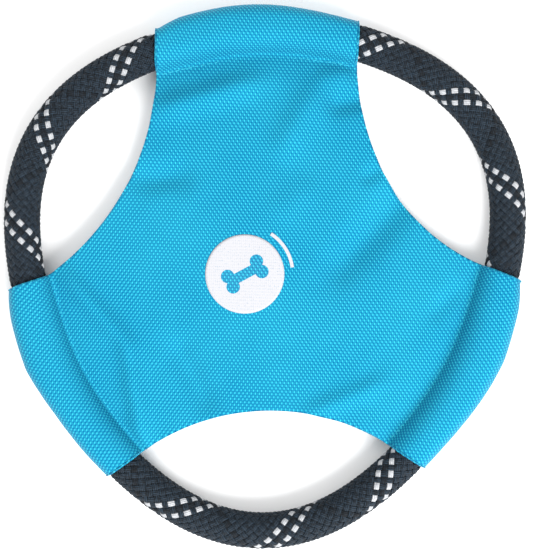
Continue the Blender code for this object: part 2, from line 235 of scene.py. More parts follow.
def stitch_inset(sleeve, aside):
    """From the crease to the stitch row."""
    return STITCH_INSET + sleeve["row"] * (1.0 - np.clip(aside / SLEEVE_HALF, -1.0, 1.0) ** 2)


def stitch_dip(x, y):
    """How far the stitches draw the cloth in near the three rows, with small puckers."""
    creased = beyond_crease(x, y)
    x, y = x - RING_MIDDLE[0], y - RING_MIDDLE[1]
    away, angle = np.hypot(x, y), np.arctan2(y, x)
    dip = np.zeros_like(x)
    for sleeve in SLEEVES:
        aside = away * np.sin(angle - sleeve["angle"])
        on = (np.cos(angle - sleeve["angle"]) > 0.0) * eased(
            (SLEEVE_HALF - np.abs(aside)) / (3.0 * MM))
        inside = creased - stitch_inset(sleeve, aside)
        pucker = 1.0 + 0.6 * np.sin(aside / (1.3 * MM) + 3.0 * np.sin(aside / (9.0 * MM)))
        near = STITCH_DIP * np.exp(-(inside / STITCH_DIP_WIDTH) ** 2)
        wide = PUCKER * pucker * np.exp(-np.abs(inside) / PUCKER_WIDTH)
        dip += on * (near + wide)
    return dip


# ---------------------------------------------------------------- meshes and node trees

def placed(name, data):
    made = bpy.data.objects.new(name, data)
    bpy.context.scene.collection.objects.link(made)
    return made


def cut_mesh(name, points, faces, cut):
    """A mesh that keeps each point's place on the flat cloth in its map."""
    mesh = bpy.data.meshes.new(name)
    mesh.from_pydata(points.tolist(), [], faces)
    flat = mesh.uv_layers.new(name="cut")
    corner = np.empty(len(mesh.loops), int)
    mesh.loops.foreach_get("vertex_index", corner)
    flat.data.foreach_set("uv", cut[corner].ravel())
    return mesh


def face_outwards(mesh, weld=0.0):
    made = bmesh.new()
    made.from_mesh(mesh)
    if weld:
        bmesh.ops.remove_doubles(made, verts=made.verts, dist=weld)
    bmesh.ops.recalc_face_normals(made, faces=made.faces)
    made.to_mesh(mesh)
    made.free()


def finished(name, mesh, material):
    mesh.shade_smooth()
    mesh.materials.append(material)
    return placed(name, mesh)


def thicken(piece, thickness, offset):
    """Gives a sheet its thickness, on both sides alike at offset 0 and all outside at 1."""
    modifier = piece.modifiers.new("thickness", "SOLIDIFY")
    modifier.thickness = thickness
    modifier.offset = offset


def new_tree_material(name):
    material = bpy.data.materials.new(name)
    material.use_nodes = True
    tree = material.node_tree
    return material, tree, tree.nodes["Principled BSDF"]


class Graph:
    """Adds nodes to a tree; a value given as an input is either a number or another node's socket."""

    def __init__(self, tree):
        self.tree = tree

    def node(self, kind, inputs=(), **settings):
        made = self.tree.nodes.new(kind)
        for key, value in settings.items():
            setattr(made, key, value)
        items = inputs.items() if isinstance(inputs, dict) else enumerate(inputs)
        for key, value in items:
            self.feed(made.inputs[key], value)
        return made

    def feed(self, socket, value):
        if isinstance(value, bpy.types.NodeSocket):
            self.tree.links.new(value, socket)
        elif value is not None:
            socket.default_value = value

    def math(self, operation, *values, clamp=False):
        kind = "ShaderNodeMath"
        return self.node(kind, values, operation=operation, use_clamp=clamp).outputs[0]

    def vector(self, operation, *values):
        return self.node("ShaderNodeVectorMath", values, operation=operation).outputs[0]

    def scaled(self, vector, factor):
        return self.node("ShaderNodeVectorMath", {0: vector, "Scale": factor},
                         operation="SCALE").outputs[0]

    def kept(self, geometry, name, value, kind="FLOAT"):
        """Geometry with a value stored under a name at each point."""
        return self.node("GeometryNodeStoreNamedAttribute", data_type=kind, domain="POINT",
                         inputs={"Geometry": geometry, "Name": name, "Value": value}).outputs[0]

    def field(self, name, kind="FLOAT"):
        return self.node("GeometryNodeInputNamedAttribute", {"Name": name},
                         data_type=kind).outputs[0]

    def mix(self, factor, first, second, blend="MIX"):
        made = self.node("ShaderNodeMix", data_type="RGBA", blend_type=blend, clamp_factor=True)
        for socket, value in zip((made.inputs[0], made.inputs[6], made.inputs[7]),
                                 (factor, first, second)):
            self.feed(socket, value)
        return made.outputs[2]

    def ramp(self, value, low, high):
        """0 below low and 1 above high, straight between."""
        made = self.node("ShaderNodeMapRange", clamp=True)
        for socket, given in zip(made.inputs, (value, low, high, 0.0, 1.0)):
            self.feed(socket, given)
        return made.outputs[0]


def open_sockets(tree, **kinds):
    tree.interface.new_socket("Geometry", in_out="INPUT", socket_type="NodeSocketGeometry")
    for name, kind in kinds.items():
        tree.interface.new_socket(name, in_out="INPUT", socket_type=kind)
    tree.interface.new_socket("Geometry", in_out="OUTPUT", socket_type="NodeSocketGeometry")


def finish_tree(graph, geometry, material):
    real = graph.node("GeometryNodeRealizeInstances", {"Geometry": geometry})
    dressed = graph.node("GeometryNodeSetMaterial", {"Geometry": real.outputs[0],
                                                     "Material": material})
    graph.node("NodeGroupOutput", [dressed.outputs[0]])


def grown(name, source, tree, values):
    """Plain mesh object that a node tree grows on source's mesh."""
    seed = placed("seed", source.data)
    modifier = seed.modifiers.new("grow", "NODES")
    modifier.node_group = tree
    sockets = {item.name: item.identifier for item in tree.interface.items_tree
               if item.in_out == "INPUT"}
    for key, value in values.items():
        modifier[sockets[key]] = value
    seed.update_tag()
    graph = bpy.context.evaluated_depsgraph_get()
    mesh = bpy.data.meshes.new_from_object(seed.evaluated_get(graph), depsgraph=graph)
    bpy.data.objects.remove(seed, do_unlink=True)
    return placed(name, mesh)


# ---------------------------------------------------------------- materials

def weave_fields(graph):
    """Flat place, thread crown, the warp's and weft's share of it, and the ribs between crowns."""
    place = graph.node("ShaderNodeUVMap", uv_map="cut").outputs[0]
    turned = graph.node("ShaderNodeMapping", {"Vector": place, "Rotation": (0.0, 0.0, ROW_TILT)})
    slip = graph.node("ShaderNodeTexNoise", {"Vector": place, "Scale": 90.0, "Detail": 1.0})
    drift = graph.node("ShaderNodeVectorMath", operation="MULTIPLY_ADD",
                       inputs=[slip.outputs["Color"], (THREAD_SLIP,) * 3, turned.outputs[0]])
    apart = graph.node("ShaderNodeSeparateXYZ", [drift.outputs[0]])
    across = graph.math("DIVIDE", apart.outputs[0], WARP_PITCH)
    along = graph.math("DIVIDE", apart.outputs[1], WEFT_PITCH)
    cell = graph.math("ADD", graph.math("FLOOR", across), graph.math("FLOOR", along))
    warp_round = graph.math("SINE", graph.math("MULTIPLY", graph.math("FRACT", across), math.pi))
    weft_round = graph.math("SINE", graph.math("MULTIPLY", graph.math("FRACT", along), math.pi))
    over = graph.math("GREATER_THAN", graph.math("MODULO", graph.math("ABSOLUTE", cell), 2.0), 0.5)
    crown = graph.math("MULTIPLY", warp_round, weft_round)
    warp_top = graph.math("MULTIPLY", crown, over)
    weft_top = graph.math("MULTIPLY", crown, graph.math("SUBTRACT", 1.0, over))
    falling = graph.math("COSINE", graph.math("MULTIPLY", graph.math("ADD", across, along), math.pi))
    rising = graph.math("COSINE", graph.math("MULTIPLY", graph.math("SUBTRACT", across, along),
                                             math.pi))
    flat = graph.node("ShaderNodeSeparateXYZ", [place])
    corner = graph.math("ADD", flat.outputs[0], graph.math("MULTIPLY", flat.outputs[1], 0.6))
    corner = graph.math("ADD", corner, graph.math("MULTIPLY", slip.outputs[0], 0.04))
    lean = graph.ramp(corner, -0.05, 0.02)
    ribs = graph.math("SUBTRACT", graph.math("MULTIPLY", falling, lean),
                      graph.math("MULTIPLY", rising, graph.math("SUBTRACT", 1.0, lean)))
    return place, crown, warp_top, weft_top, ribs


def cloth_colour(graph, fields, fuzz, deep, bright):
    place, _, warp_top, weft_top, ribs = fields
    cloud = graph.node("ShaderNodeTexNoise", {"Vector": place, "Scale": 22.0, "Detail": 3.0})
    # Painted light: the thread crowns and slanting ribs are mixed towards the bright colour, a
    # painted highlight; between them the deep colour stays, the cloth's blue darkened with painted
    # shade. The cloud noise varies the highlight at random.
    painted_light_and_mottle = graph.math("ADD", graph.math("MULTIPLY", warp_top, WARP_HIGHLIGHT),
                     graph.math("MULTIPLY", weft_top, WEFT_HIGHLIGHT))
    painted_light_and_mottle = graph.math("ADD", painted_light_and_mottle, graph.math("MULTIPLY", ribs, RIB_SHARE))
    painted_light_and_mottle = graph.math("ADD", painted_light_and_mottle, graph.math("MULTIPLY", cloud.outputs[0], 0.25), clamp=True)
    colour = graph.mix(painted_light_and_mottle, deep, bright)
    return graph.mix(graph.math("MULTIPLY", fuzz, 0.25), colour, deep)


def cloth_material(name, deep, bright, gloss):
    material, tree, shader = new_tree_material(name)
    graph = Graph(tree)
    fields = weave_fields(graph)
    place, _, warp_top, weft_top, _ = fields
    fuzz = graph.node("ShaderNodeTexNoise", {"Vector": place, "Scale": 1600.0, "Detail": 2.0})
    colour = cloth_colour(graph, fields, fuzz.outputs[0], deep, bright)
    graph.feed(shader.inputs["Base Color"], colour)
    rough = graph.math("SUBTRACT", 0.62, graph.math("MULTIPLY", warp_top, gloss))
    graph.feed(shader.inputs["Roughness"], rough)
    height = graph.math("ADD", graph.math("MULTIPLY", warp_top, 1.0),
                        graph.math("MULTIPLY", weft_top, 0.7))
    height = graph.math("ADD", height, graph.math("MULTIPLY", fuzz.outputs[0], 0.12))
    bump = graph.node("ShaderNodeBump", {"Height": height, "Strength": 0.6,
                                         "Distance": 0.2 * MM})
    graph.feed(shader.inputs["Normal"], bump.outputs[0])
    shader.inputs["Specular IOR Level"].default_value = 0.30
    shader.inputs["Specular Tint"].default_value = (0.0, 0.8, 1.0, 1.0)
    return material


def braid_material(name, deep, bright, sheen):
    material, tree, shader = new_tree_material(name)
    graph = Graph(tree)
    across = graph.node("ShaderNodeAttribute", attribute_name="across").outputs["Fac"]
    along = graph.node("ShaderNodeAttribute", attribute_name="along").outputs["Fac"]
    yarns = graph.math("MULTIPLY", graph.math("ADD", across, 1.0), 0.5 * YARNS)
    in_yarn = graph.math("FRACT", yarns)
    yarn_round = graph.math("SINE", graph.math("MULTIPLY", in_yarn, math.pi))
    ply = graph.math("ADD", graph.math("MULTIPLY", along, PLY_RATE),
                     graph.math("MULTIPLY", yarns, 1.5))
    ply = graph.math("ABSOLUTE", graph.math("SINE", graph.math("MULTIPLY", ply, math.pi)))
    where = graph.node("ShaderNodeTexCoord").outputs["Object"]
    fuzz = graph.node("ShaderNodeTexNoise", {"Vector": where, "Scale": 2200.0, "Detail": 2.0})
    patch = graph.node("ShaderNodeTexNoise", {"Vector": where, "Scale": 950.0, "Detail": 2.0})
    mottle = graph.ramp(patch.outputs[0], 0.38, 0.60)
    strand = graph.node("ShaderNodeAttribute", attribute_name="strand").outputs["Fac"]
    beside = graph.math("COMPARE", strand, 1.0, 0.1)
    beside = graph.math("MULTIPLY", beside, BESIDE_TRACER)
    # Painted light: each yarn is lighter along its crown and ply twist and darker towards its edges,
    # a painted highlight and painted shade over the yarn's own colour; the patches vary it at random.
    painted_light_and_mottle = graph.math("MULTIPLY", yarn_round, graph.math("ADD", 0.55,
                                                        graph.math("MULTIPLY", ply, 0.45)))
    painted_light_and_mottle = graph.math("MULTIPLY", painted_light_and_mottle, graph.math("ADD", 0.35, mottle))
    painted_light_and_mottle = graph.math("MULTIPLY", painted_light_and_mottle, graph.math("SUBTRACT", 1.0, beside))
    colour = graph.mix(painted_light_and_mottle, deep, bright)
    colour = graph.mix(graph.math("MULTIPLY", fuzz.outputs[0], 0.35), colour, deep)
    graph.feed(shader.inputs["Base Color"], colour)
    height = graph.math("ADD", yarn_round, graph.math("MULTIPLY", ply, 0.25))
    height = graph.math("ADD", height, graph.math("MULTIPLY", fuzz.outputs[0], 0.3))
    bump = graph.node("ShaderNodeBump", {"Height": height, "Strength": 0.8,
                                         "Distance": 0.2 * MM})
    graph.feed(shader.inputs["Normal"], bump.outputs[0])
    shader.inputs["Roughness"].default_value = 0.72
    shader.inputs["Specular IOR Level"].default_value = 0.18
    shader.inputs["Sheen Weight"].default_value = sheen
    shader.inputs["Sheen Roughness"].default_value = 0.5
    return material


def fibre_material(name, deep, bright, scale=900.0, roughness=0.7):
    """Plain spun fibre for threads, core strands and the near-black tube inside the braid, which is
    painted shade between the strands.
    """
    material, tree, shader = new_tree_material(name)
    graph = Graph(tree)
    where = graph.node("ShaderNodeTexCoord").outputs["Object"]
    fuzz = graph.node("ShaderNodeTexNoise", {"Vector": where, "Scale": scale, "Detail": 3.0})
    colour = graph.mix(fuzz.outputs[0], deep, bright)
    graph.feed(shader.inputs["Base Color"], colour)
    bump = graph.node("ShaderNodeBump", {"Height": fuzz.outputs[0], "Strength": 0.6,
                                         "Distance": 0.1 * MM})
    graph.feed(shader.inputs["Normal"], bump.outputs[0])
    shader.inputs["Roughness"].default_value = roughness
    shader.inputs["Specular IOR Level"].default_value = 0.2
    return material


def print_material(name, ink, deep, bright, with_mark):
    """White ink that sinks between the threads; the mark is a plain bone left unprinted."""
    material, tree, shader = new_tree_material(name)
    graph = Graph(tree)
    fields = weave_fields(graph)
    place, crown = fields[:2]
    speck = graph.node("ShaderNodeTexNoise", {"Vector": place, "Scale": 1500.0, "Detail": 2.0})
    cloth = cloth_colour(graph, fields, speck.outputs[0], deep, bright)
    missed = graph.math("MULTIPLY", graph.math("SUBTRACT", 1.0, crown), speck.outputs[0])
    missed = graph.ramp(missed, 0.42, 0.75)
    colour = graph.mix(graph.math("MULTIPLY", missed, 0.55), ink, cloth)
    if with_mark:
        colour = graph.mix(bone_field(graph, place), colour, cloth)
    graph.feed(shader.inputs["Base Color"], colour)
    bump = graph.node("ShaderNodeBump", {"Height": crown, "Strength": 0.35,
                                         "Distance": 0.12 * MM})
    graph.feed(shader.inputs["Normal"], bump.outputs[0])
    shader.inputs["Roughness"].default_value = 0.6
    shader.inputs["Specular IOR Level"].default_value = 0.15
    return material


BONE_HALF = 7.2 * MM
BONE_SHAFT = 2.3 * MM
BONE_KNOB = 3.0 * MM
BONE_SPREAD = 2.6 * MM
BONE_TILT = math.radians(28.0)


def bone_field(graph, place):
    """1 inside a plain bone in the middle of the disc, 0 outside."""
    middle = graph.node("ShaderNodeMapping", {"Vector": place}, vector_type="TEXTURE")
    middle.inputs["Location"].default_value = (*PRINT_MIDDLE, 0.0)
    middle.inputs["Rotation"].default_value = (0.0, 0.0, BONE_TILT)
    folded = graph.node("ShaderNodeVectorMath", [middle.outputs[0]], operation="ABSOLUTE")
    apart = graph.node("ShaderNodeSeparateXYZ", [folded.outputs[0]])
    x, y = apart.outputs[0], apart.outputs[1]
    knob = graph.node("ShaderNodeVectorMath", operation="DISTANCE",
                      inputs=[folded.outputs[0], (BONE_HALF, BONE_SPREAD, 0.0)]).outputs["Value"]
    in_knob = graph.math("LESS_THAN", knob, BONE_KNOB)
    in_shaft = graph.math("MULTIPLY", graph.math("LESS_THAN", x, BONE_HALF),
                          graph.math("LESS_THAN", y, BONE_SHAFT))
    return graph.math("MAXIMUM", in_knob, in_shaft)


# ---------------------------------------------------------------- cloth body

WEB_RINGS = 56
SLEEVE_COLUMNS = 60
HOLLOW_COLUMNS = 64
FLAP_ROWS = 96
LIP_STEPS = 4
LIP_TURN = math.radians(150.0)
OUTER, LINING, BETWEEN = 0.0, 1.0, 0.5      # which layer, counted inwards; the seams lie between


def sleeve_section(sleeve, place, layer):
    """Points (out, up) of one layer's middle, place -1 to 1 along the sleeve: crease, over the
    rope, flat beneath it, and the flap's tail."""
    stations = np.linspace(-1.0, 1.0, len(sleeve["reach"]))
    reach = np.interp(place, stations, sleeve["reach"]) - MOUTH_DRAW * place ** 16
    reach = max(reach, MOUTH_REACH) * MM
    tight = abs(place) ** 3
    inward = 0.5 * CLOTH + layer * SLEEVE_STEP
    lift = OUTER_LIFT + layer * (LINING_LIFT - OUTER_LIFT)
    crease = -CREASE_INSET + END_DRAW * tight - (lift - LINING_LIFT) * CREASE_LEAN
    outer_half = reach - inward
    inner_half = -crease - INNER_ROOM
    top = TUNNEL_TOP + OVER_ROPE - layer * SLEEVE_STEP - END_SINK * tight
    floor = TUNNEL_FLOOR + OVER_ROPE - layer * FLOOR_STEP
    corner = math.asin(min(0.98, floor / top))
    turns = np.concatenate([np.linspace(LEAVE_TURN, -corner, OVER_STEPS),
                            np.linspace(corner - math.pi, -LEAVE_TURN, UNDER_STEPS)])
    beyond = np.cos(turns) > 0.0
    half = np.where(beyond, outer_half, inner_half)
    across = np.abs(np.cos(turns)) ** np.where(beyond, SLEEVE_SQUARE, 1.0) * np.sign(np.cos(turns))
    out = np.concatenate([[crease], half * across, [crease, -CREASE_INSET - FLAP_TAIL]])
    up = np.concatenate([[lift], top * np.sin(turns), [-lift, -lift]])
    run = np.concatenate([[0.0], np.cumsum(np.hypot(np.diff(out), np.diff(up)))])
    even = np.linspace(0.0, run[-1], FLAP_ROWS + 1)
    out, up = np.interp(even, run, out), np.interp(even, run, up)
    for _ in range(SMOOTHINGS):
        out[1:-1] = 0.25 * out[:-2] + 0.5 * out[1:-1] + 0.25 * out[2:]
        up[1:-1] = 0.25 * up[:-2] + 0.5 * up[1:-1] + 0.25 * up[2:]
    return out, up, even


def sleeve_grid(sleeve, layer, inset):
    """The layer's points round one sleeve, row by row from the crease, and how far along each is."""
    places = np.linspace(-1.0, 1.0, SLEEVE_COLUMNS + 1)
    columns, runs = [], []
    for place in places:
        out, up, run = sleeve_section(sleeve, place, layer)
        at_crease, outside = sleeve["lack"][1 if place > 0.0 else 0]
        share = eased((out + CREASE_INSET) / (CREASE_INSET + ROPE_RADIUS))
        lack = (at_crease + (outside - at_crease) * share) * MM
        aside = place * (half_length(out) - inset - lack)
        angle = angle_beside(sleeve["angle"], aside, out)
        columns.append(ring_point(angle, out, up))
        runs.append(run)
    return np.stack(columns, axis=1), np.stack(runs, axis=1)


def lifted(points):
    """Points with the web's rise, and with the stitches' pull towards the other layer."""
    x, y, z = points.T
    inward = eased((beyond_crease(x, y) + 1.0 * MM) / (1.5 * MM))
    above = z > RING_MIDDLE[2]
    pull = np.where(above, -stitch_dip(x, y), 0.5 * stitch_dip(x, y))
    z = z + inward * (web_rise(x, y) * eased(beyond_crease(x, y) / (2.0 * MM)) + pull)
    return np.stack([x, y, z], axis=-1)


def hollow_between(sleeve, grid, following):
    """The web's free edge from one sleeve to the next, without its end points."""
    start, end = grid[0, -1, :2], following[0, 0, :2]
    arc = arc_between(start, end, sleeve["hollow"], HOLLOW_COLUMNS)
    chord = (end - start) / np.linalg.norm(end - start)
    share = np.linspace(0.0, 1.0, HOLLOW_COLUMNS + 1)[:, None]
    deeper = sleeve["lean"] * 6.75 * share * (1.0 - share) ** 2
    return (arc + deeper * np.array([-chord[1], chord[0]]))[1:-1]


def panel_surface(layer, inset):
    """Points, flat-cut coordinates, fan triangles and quads of one layer's middle surface."""
    grids = [sleeve_grid(sleeve, layer, inset) for sleeve in SLEEVES]
    lift = OUTER_LIFT + layer * (LINING_LIFT - OUTER_LIFT)
    height = RING_MIDDLE[2] + lift
    rim = []
    for index, (grid, _) in enumerate(grids):
        following = grids[(index + 1) % len(grids)][0]
        rim.append(grid[0, :, :2])
        rim.append(hollow_between(SLEEVES[index], grid, following))
    rim = np.concatenate(rim)
    count = len(rim)
    points = [np.array([[*RING_MIDDLE[:2], height]])]
    cut = [RING_MIDDLE[None, :2]]
    for ring in range(1, WEB_RINGS + 1):
        spot = RING_MIDDLE[:2] + (ring / WEB_RINGS) * (rim - RING_MIDDLE[:2])
        points.append(np.column_stack([spot, np.full(count, height)]))
        cut.append(spot)
    rows = 1 + np.arange(WEB_RINGS * count).reshape(WEB_RINGS, count)
    fan = [(0, rows[0][j], rows[0][(j + 1) % count]) for j in range(count)]
    quads = [np.stack([rows[:-1], rows[1:], np.roll(rows[1:], -1, axis=1),
                       np.roll(rows[:-1], -1, axis=1)], axis=-1).reshape(-1, 4)]
    used = 1 + WEB_RINGS * count
    start = 0
    for sleeve, (grid, run) in zip(SLEEVES, grids):
        axis = np.array([math.cos(sleeve["angle"]), math.sin(sleeve["angle"])])
        flap = used + np.arange(FLAP_ROWS * (SLEEVE_COLUMNS + 1)).reshape(FLAP_ROWS, -1)
        used += flap.size
        flap = np.vstack([rows[-1][start:start + SLEEVE_COLUMNS + 1], flap])
        start += SLEEVE_COLUMNS + HOLLOW_COLUMNS
        points.append(grid[1:].reshape(-1, 3))
        cut.append((grid[0][None, :, :2] + run[1:, :, None] * axis).reshape(-1, 2))
        quads.append(np.stack([flap[:-1, :-1], flap[1:, :-1], flap[1:, 1:], flap[:-1, 1:]],
                              axis=-1).reshape(-1, 4))
    return np.concatenate(points), np.concatenate(cut), fan, np.concatenate(quads)


def flat_size(cut, fan, quads):
    """Width, length and area of the flat piece that the panel is cut from."""
    faces = np.concatenate([np.column_stack([fan, np.array(fan)[:, 2]]), quads])
    x, y = cut[faces].transpose(2, 0, 1)
    area = 0.5 * np.abs((x[:, 2] - x[:, 0]) * (y[:, 3] - y[:, 1])
                        - (x[:, 3] - x[:, 1]) * (y[:, 2] - y[:, 0]))
    triangles = slice(0, len(fan))
    area[triangles] = 0.5 * np.abs(
        (x[triangles, 1] - x[triangles, 0]) * (y[triangles, 2] - y[triangles, 0])
        - (x[triangles, 2] - x[triangles, 0]) * (y[triangles, 1] - y[triangles, 0]))
    width, length = np.ptp(cut, axis=0)
    return (width, length), area.sum()


def make_panel(name, layer, inset, side, material):
    points, cut, fan, quads = panel_surface(layer, inset)
    mesh = cut_mesh(name, lifted(points), fan + quads.tolist(), cut)
    face_outwards(mesh)
    curl_edge(mesh, side)
    panel = finished(name, mesh, material)
    thicken(panel, CLOTH, 0.0)
    size, area = flat_size(cut, fan, quads)
    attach(panel, "cloth_body")
    return panel


def curl_edge(mesh, side):
    """Turns the layer's free edge over towards the other layer, down at side 1 and up at -1."""
    made = bmesh.new()
    made.from_mesh(mesh)
    uv = made.loops.layers.uv["cut"]
    made.normal_update()
    leaving = {}
    for edge in made.edges:
        if edge.is_boundary:
            leaving[edge.link_loops[0].vert] = edge.link_loops[0]
    loop = next(iter(leaving.values()))
    loops = []
    while len(loops) < len(leaving):
        loops.append(loop)
        loop = leaving[loop.link_loop_next.vert]
    verts = [loop.vert for loop in loops]
    flat = [loop[uv].uv.copy() for loop in loops]
    count = len(verts)
    ups = [vert.normal.copy() for vert in verts]
    outs = [(verts[(index + 1) % count].co - verts[index - 1].co).cross(ups[index]).normalized()
            for index in range(count)]
    before = verts
    for step in range(1, LIP_STEPS + 1):
        turn = LIP_TURN * step / LIP_STEPS
        row = []
        for index, vert in enumerate(verts):
            row.append(made.verts.new(vert.co + LIP_RADIUS * (
                outs[index] * math.sin(turn) - side * ups[index] * (1.0 - math.cos(turn)))))
        for index in range(count):
            after = (index + 1) % count
            face = made.faces.new((before[after], before[index], row[index], row[after]))
            for corner in face.loops:
                near = index if corner.vert in (before[index], row[index]) else after
                corner[uv].uv = flat[near]
        before = row
    made.to_mesh(mesh)
    made.free()


# ---------------------------------------------------------------- seams and print

STITCH_PITCH = 2.9 * MM
STITCH_SPAN = 2.3 * MM
STITCH_RADIUS = 0.24 * MM
THREAD_RADIUS = 0.22 * MM
ROW_END = STITCH_END + 1.5 * MM     # from a sleeve's end to the end of its stitch row
ROW_DRAW = 0.8 * END_DRAW           # how much nearer the rope the row ends than its middle


def path_object(name, paths, **fields):
    """Edges along each path, with a value per point for every named field."""
    points = np.concatenate(paths)
    edges, start = [], 0
    for path in paths:
        edges += [(start + i, start + i + 1) for i in range(len(path) - 1)]
        start += len(path)
    mesh = bpy.data.meshes.new(name)
    mesh.from_pydata(points.tolist(), edges, [])
    for key, values in fields.items():
        mesh.attributes.new(key, "FLOAT", "POINT").data.foreach_set("value", values)
    return placed(name, mesh)


def stitch_tree():
    """Short arched stitches along a path, on the side that the field facing names."""
    tree = bpy.data.node_groups.new("stitches", "GeometryNodeTree")
    open_sockets(tree, Pitch="NodeSocketFloat", Span="NodeSocketFloat", Radius="NodeSocketFloat",
                 Material="NodeSocketMaterial")
    g = Graph(tree)
    given = g.node("NodeGroupInput").outputs
    line = g.node("GeometryNodeMeshToCurve", {"Mesh": given["Geometry"]})
    even = g.node("GeometryNodeResampleCurve", {"Curve": line.outputs[0], "Length": given["Pitch"]},
                  mode="LENGTH")
    half = g.math("MULTIPLY", given["Span"], 0.5)
    back = g.math("MULTIPLY", half, -1.0)
    sunk = g.math("MULTIPLY", given["Radius"], -1.6)
    crown = g.math("MULTIPLY", given["Radius"], 1.9)
    arch = g.node("GeometryNodeCurveQuadraticBezier", {
        "Resolution": 6,
        "Start": g.node("ShaderNodeCombineXYZ", [back, 0.0, sunk]).outputs[0],
        "Middle": g.node("ShaderNodeCombineXYZ", [0.0, 0.0, crown]).outputs[0],
        "End": g.node("ShaderNodeCombineXYZ", [half, 0.0, sunk]).outputs[0]})
    ring = g.node("GeometryNodeCurvePrimitiveCircle", {"Resolution": 8, "Radius": given["Radius"]})
    stitch = g.node("GeometryNodeCurveToMesh", {"Curve": arch.outputs[0],
                                                "Profile Curve": ring.outputs[0],
                                                "Fill Caps": True})
    soft = g.node("GeometryNodeSetShadeSmooth", {"Geometry": stitch.outputs[0]})
    upward = g.node("ShaderNodeCombineXYZ", [0.0, 0.0, g.field("facing")]).outputs[0]
    turned = g.node("FunctionNodeAxesToRotation", primary_axis="X", secondary_axis="Z",
                    inputs=[g.node("GeometryNodeInputTangent").outputs[0], upward])
    laid = g.node("GeometryNodeInstanceOnPoints", {"Points": even.outputs[0],
                                                   "Instance": soft.outputs[0],
                                                   "Rotation": turned.outputs[0]})
    finish_tree(g, laid.outputs[0], given["Material"])
    return tree


def thread_tree():
    """One plain round thread along each path."""
    tree = bpy.data.node_groups.new("thread", "GeometryNodeTree")
    open_sockets(tree, Radius="NodeSocketFloat", Material="NodeSocketMaterial")
    g = Graph(tree)
    given = g.node("NodeGroupInput").outputs
    line = g.node("GeometryNodeMeshToCurve", {"Mesh": given["Geometry"]})
    ring = g.node("GeometryNodeCurvePrimitiveCircle", {"Resolution": 8, "Radius": given["Radius"]})
    solid = g.node("GeometryNodeCurveToMesh", {"Curve": line.outputs[0],
                                               "Profile Curve": ring.outputs[0],
                                               "Fill Caps": True})
    soft = g.node("GeometryNodeSetShadeSmooth", {"Geometry": solid.outputs[0]})
    finish_tree(g, soft.outputs[0], given["Material"])
    return tree


def front_height(x, y):
    """Height of the web's front face."""
    flat = np.column_stack([x, y, np.full(len(x), RING_MIDDLE[2] + OUTER_LIFT)])
    return lifted(flat)[:, 2] + 0.5 * CLOTH


def make_sleeve_seams(tree, material):
    for sleeve in SLEEVES:
        places = np.linspace(-1.0, 1.0, 61)
        out = -CREASE_INSET - stitch_inset(sleeve, places * SLEEVE_HALF)
        out = out + ROW_DRAW * places ** 2
        aside = places * (half_length(out) - ROW_END)
        angle = angle_beside(sleeve["angle"], aside, out)
        front = ring_point(angle, out, 0.0)
        front[:, 2] = front_height(front[:, 0], front[:, 1])
        rear = ring_point(angle, out, -OUTER_LIFT)
        rear[:, 2] = lifted(rear)[:, 2] - 0.5 * CLOTH
        facing = np.repeat([1.0, -1.0], len(places))
        name = f"sleeve_stitches_{sleeve['name']}"
        line = path_object("row", [front, rear], facing=facing)
        seam = grown(name, line, tree, {"Pitch": STITCH_PITCH, "Span": STITCH_SPAN,
                                        "Radius": STITCH_RADIUS, "Material": material})
        bpy.data.objects.remove(line, do_unlink=True)
        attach(seam, "cloth_body")
        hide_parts(f"sleeve_seam_{sleeve['name']}")


def make_edge_seams(tree, material):
    """Thread between the layers down a sleeve's end, along the hollow edge and up the next."""
    grids = [sleeve_grid(sleeve, BETWEEN, EDGE_FOLD + 1.0 * MM)[0] for sleeve in SLEEVES]
    for index, name in enumerate(("edge_seam_right", "edge_seam_left", "edge_seam_bottom")):
        grid, following = grids[index], grids[(index + 1) % len(grids)]
        hollow = hollow_between(SLEEVES[index], grid, following)
        height = RING_MIDDLE[2] + 0.5 * (OUTER_LIFT + LINING_LIFT)
        hollow = np.column_stack([hollow, np.full(len(hollow), height)])
        route = np.concatenate([grid[:, -1][::-1], hollow, following[:, 0]])
        line = path_object("row", [lifted(route)])
        seam = grown(name.replace("seam", "thread"), line, tree, {"Radius": THREAD_RADIUS,
                                                                  "Material": material})
        bpy.data.objects.remove(line, do_unlink=True)
        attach(seam, "cloth_body")
        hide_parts(name)


PRINT_THICK = 0.10 * MM


def make_print(name, node, radii, turns, material):
    """A printed film that follows the cloth, between two radii and two turns about the middle."""
    rows, columns = np.meshgrid(np.linspace(*radii, 18), np.linspace(*turns, 97), indexing="ij")
    x = PRINT_MIDDLE[0] + rows * np.cos(columns)
    y = PRINT_MIDDLE[1] + rows * np.sin(columns)
    z = front_height(x.ravel(), y.ravel()) + PRINT_THICK
    points = np.column_stack([x.ravel(), y.ravel(), z])
    index = np.arange(len(points)).reshape(rows.shape)
    quads = np.stack([index[:-1, :-1], index[1:, :-1], index[1:, 1:], index[:-1, 1:]],
                     axis=-1).reshape(-1, 4)
    mesh = cut_mesh(name, points, quads.tolist(), points[:, :2])
    face_outwards(mesh, weld=0.01 * MM)
    film = finished(name, mesh, material)
    thicken(film, PRINT_THICK, 1.0)
    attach(film, "cloth_body")
    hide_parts(node)


# ---------------------------------------------------------------- rope ring

def inside_sleeve(angle):
    """1 inside a sleeve, 0 outside, eased over its mouth."""
    inside = np.zeros_like(angle)
    for sleeve in SLEEVES:
        aside = np.sin(angle - sleeve["angle"]) * rope_distance(angle)
        ahead = np.cos(angle - sleeve["angle"]) > 0.0
        inside += ahead * eased((SLEEVE_HALF + 2.0 * MM - np.abs(aside)) / (5.0 * MM))
    return inside


